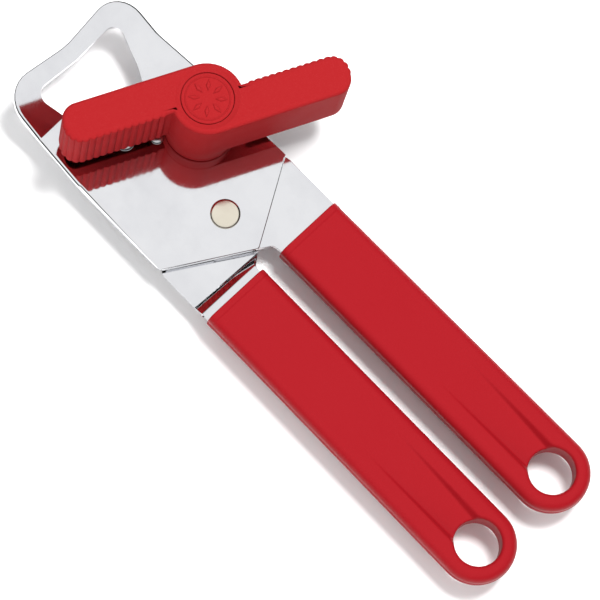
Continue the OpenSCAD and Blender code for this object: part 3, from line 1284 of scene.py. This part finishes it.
@dataclass
class Studio:
    """The pale floor, the soft light and the camera."""

    key_place: tuple[float, float, float] = (0.10, -0.34, 1.18)
    key_size: float = 0.34
    key_watts: float = 20.0
    fill_place: tuple[float, float, float] = (-0.26, 0.95, 0.42)
    fill_size: float = 0.7
    fill_watts: float = 7.0
    floor_z: float = -5.85
    floor_grey: float = 0.92
    sky_strength: float = 0.95
    sky: tuple[tuple[float, float], ...] = ((0.0, 0.015), (0.56, 0.015), (0.66, 0.8), (0.76, 1.0))
    aim: tuple[float, float, float] = (0.09, 0.015, 0.0)
    lens: float = 238.85
    tilt: float = 0.2791
    bearing: float = -1.1537
    roll: float = 0.39
    distance: float = 1200.0
    target: tuple[float, float] = (33.7019, -0.4446)

    def build(self) -> None:
        """Sets up floor, world, lights and camera."""
        self._camera()
        self._floor()
        self._world()
        self._light("key_light", self.key_place, self.key_size, self.key_watts)
        self._light("fill_light", self.fill_place, self.fill_size, self.fill_watts)

    def _camera(self) -> None:
        """Places the camera over the opener, at an angle and turned a little about its axis."""
        d = Vector((math.sin(self.tilt) * math.cos(self.bearing),
                    math.sin(self.tilt) * math.sin(self.bearing), math.cos(self.tilt)))
        place = Vector((*self.target, 0.0)) + self.distance * d
        h = Vector((math.cos(self.bearing), math.sin(self.bearing), 0.0))
        up = -(h - h.dot(-d) * -d)
        up.normalize()
        right = (-d).cross(up)
        c, s = math.cos(self.roll), math.sin(self.roll)
        right, up = c * right + s * up, -s * right + c * up
        turn = Matrix(((-1, 0, 0), (0, -1, 0), (0, 0, 1)))
        axes = [turn @ right, turn @ up, turn @ d]
        data = bpy.data.cameras.new("view")
        data.lens, data.sensor_width = self.lens, 36.0
        data.clip_start, data.clip_end = 0.1, 20.0
        camera = bpy.data.objects.new("view", data)
        bpy.context.scene.collection.objects.link(camera)
        camera.matrix_world = Matrix.Translation(Drafting.at(*place)) @ Matrix(
            [[axes[j][i] for j in range(3)] for i in range(3)]).to_4x4()
        bpy.context.scene.camera = camera

    def _floor(self) -> None:
        """Adds the pale floor under the lowest part."""
        Bench.clear()
        bpy.ops.mesh.primitive_plane_add(size=6.0, location=(0.1, 0.0, self.floor_z * Drafting.mm))
        floor = bpy.context.object
        floor.name = "studio_floor"
        material = bpy.data.materials.new("floor_white")
        material.use_nodes = True
        shader = material.node_tree.nodes["Principled BSDF"]
        shader.inputs["Base Color"].default_value = (*[self.floor_grey] * 3, 1.0)
        shader.inputs["Roughness"].default_value = 0.9
        shader.inputs["Specular IOR Level"].default_value = 0.0
        floor.data.materials.append(material)

    def _world(self) -> None:
        """Makes a white sky that is dark low down, as a dark room with a light ceiling."""
        world = bpy.data.worlds.new("studio")
        bpy.context.scene.world = world
        bpy.context.scene.view_settings.view_transform = "Standard"
        world.use_nodes = True
        tree = world.node_tree
        back = tree.nodes["Background"]
        coords = tree.nodes.new("ShaderNodeTexCoord").outputs["Generated"]
        split = tree.nodes.new("ShaderNodeSeparateXYZ")
        tree.links.new(coords, split.inputs[0])
        ramp = tree.nodes.new("ShaderNodeValToRGB")
        tree.links.new(split.outputs["Z"], ramp.inputs["Fac"])
        while len(ramp.color_ramp.elements) < len(self.sky):
            ramp.color_ramp.elements.new(0.5)
        for element, (where, grey) in zip(ramp.color_ramp.elements, self.sky):
            element.position = where
            element.color = (grey, grey, grey * 1.01, 1.0)
        tree.links.new(ramp.outputs["Color"], back.inputs["Color"])
        back.inputs["Strength"].default_value = self.sky_strength

    def _light(self, name: str, place: tuple[float, float, float], size: float,
               watts: float) -> None:
        """Adds a soft square light that looks at the opener and isn't mirrored in it.

        Args:
            name: Its name.
            place: Its place in metres.
            size: Its side in metres.
            watts: Its power.
        """
        data = bpy.data.lights.new(name, "AREA")
        data.size, data.energy = size, watts
        light = bpy.data.objects.new(name, data)
        bpy.context.scene.collection.objects.link(light)
        light.location = place
        light.visible_glossy = False
        way = Vector(self.aim) - Vector(place)
        light.rotation_mode = "QUATERNION"
        light.rotation_quaternion = way.to_track_quat("-Z", "Y")


def dome(r: float, base: float, height: float) -> list[tuple[float, float]]:
    """Gives the profile of a low domed head with a rounded rim.

    Args:
        r: Radius of the head.
        base: Height of the head's underside.
        height: Height of the head.

    Returns:
        Radius and height of each ring, from the rim up.
    """
    steps = [(r, base), (r, base + 0.12 * height)]
    for k in range(1, 9):
        t = math.pi / 2 * k / 9
        steps.append((r * math.cos(t) ** 0.8, base + height * (0.12 + 0.88 * math.sin(t))))
    return steps


def turned_parts() -> list[tuple[RivetHead, MetalFinish, str]]:
    """Lists the turned rivets and studs with their finishes and slots.

    Returns:
        The pieces to build.
    """
    rivet = RivetHead("lever_rivet", "pivot_rivet", (0.0, 0.0), [
        (4.7, 0.36), (5.0, 0.6), (5.0, 1.0), (4.8, 1.3), (3.0, 1.33), (3.0, 6.7), (4.45, 6.76),
        (4.56, 6.86), (4.6, 7.0), (4.6, 7.22), (4.55, 7.36), (4.42, 7.48), (3.95, 7.72),
        (3.84, 7.75)])
    cutter = RivetHead("cutter_axle", "cutter_stud", (-31.4, 1.7), [
        (4.0, -5.7), (4.35, -5.5), (4.4, -4.9), (4.3, -4.75), (2.5, -4.73), (2.5, 3.7),
        (1.8, 3.75), (1.8, 6.7)] + dome(2.3, 6.76, 0.9))
    guide = RivetHead("guide_axle", "guide_stud", (-37.0, -6.3), [
        (3.1, -1.84), (3.38, -1.6), (3.38, -1.0), (1.8, -0.96), (1.8, 6.7)]
        + dome(3.1, 6.76, 1.2))
    return [(rivet, WARM_NICKEL, "nickel"), (cutter, TURNED_STEEL, "shaft_steel"),
            (guide, TURNED_STEEL, "shaft_steel")]


CARRIED: dict[str, MetalFinish] = {
    "steel_small": SMALL_STEEL, "shaft_steel": TURNED_STEEL, "wheel_steel": WHEEL_STEEL,
    "steel": SHEET_STEEL, "nickel": WARM_NICKEL}


def settle(piece: bpy.types.Object, material: bpy.types.Material, node: str, body: str) -> None:
    """Gives a piece its material and its body, and hides the node that it replaces.

    Args:
        piece: The finished piece.
        material: Its material.
        node: The node it replaces.
        body: The body it moves with.
    """
    piece.data.materials.clear()
    piece.data.materials.append(material)
    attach(piece, body)
    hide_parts(node)
    log.info("%s: %d faces, on %s", piece.name, len(piece.data.polygons), body)


def main() -> None:
    """Builds every piece, the studio and the finishes."""
    finishes = Finishes()
    Studio().build()
    for lever in Lever:
        body = "front_lever" if lever is Lever.FRONT else "rear_lever"
        settle(Sleeve(lever).build(), finishes.plastic(HANDLE_RED),
               body.replace("lever", "handle"), body)
    key = TurningKey()
    settle(key.build(), finishes.plastic(KEY_RED), "crank_key", "crank")
    settle(KeyCap(key).build(), finishes.plastic(KEY_RED), "key_cap", "crank")
    for part, body in ((CoverSheet("cover_sheet", "cover_plate", 0.2), "front_lever"),
                       (SheetPart("front_sheet", "front_lever_plate"), "front_lever"),
                       (RearSheet("rear_sheet", "rear_lever_plate"), "rear_lever")):
        settle(part.build(), finishes.metal(SHEET_STEEL), part.node, body)
    for part, finish, slot in turned_parts():
        settle(part.build(), finishes.metal(finish), part.node, "front_lever")
    slots = {s["node"]: s["material_slot"] for s in frame["record"]["subparts"]}
    for name, node in frame["nodes"].items():
        if slots[name] in CARRIED:
            node.data.materials.clear()
            node.data.materials.append(finishes.metal(CARRIED[slots[name]]))
            log.info("%s: carried over", name)


if __name__ == "__main__":
    main()
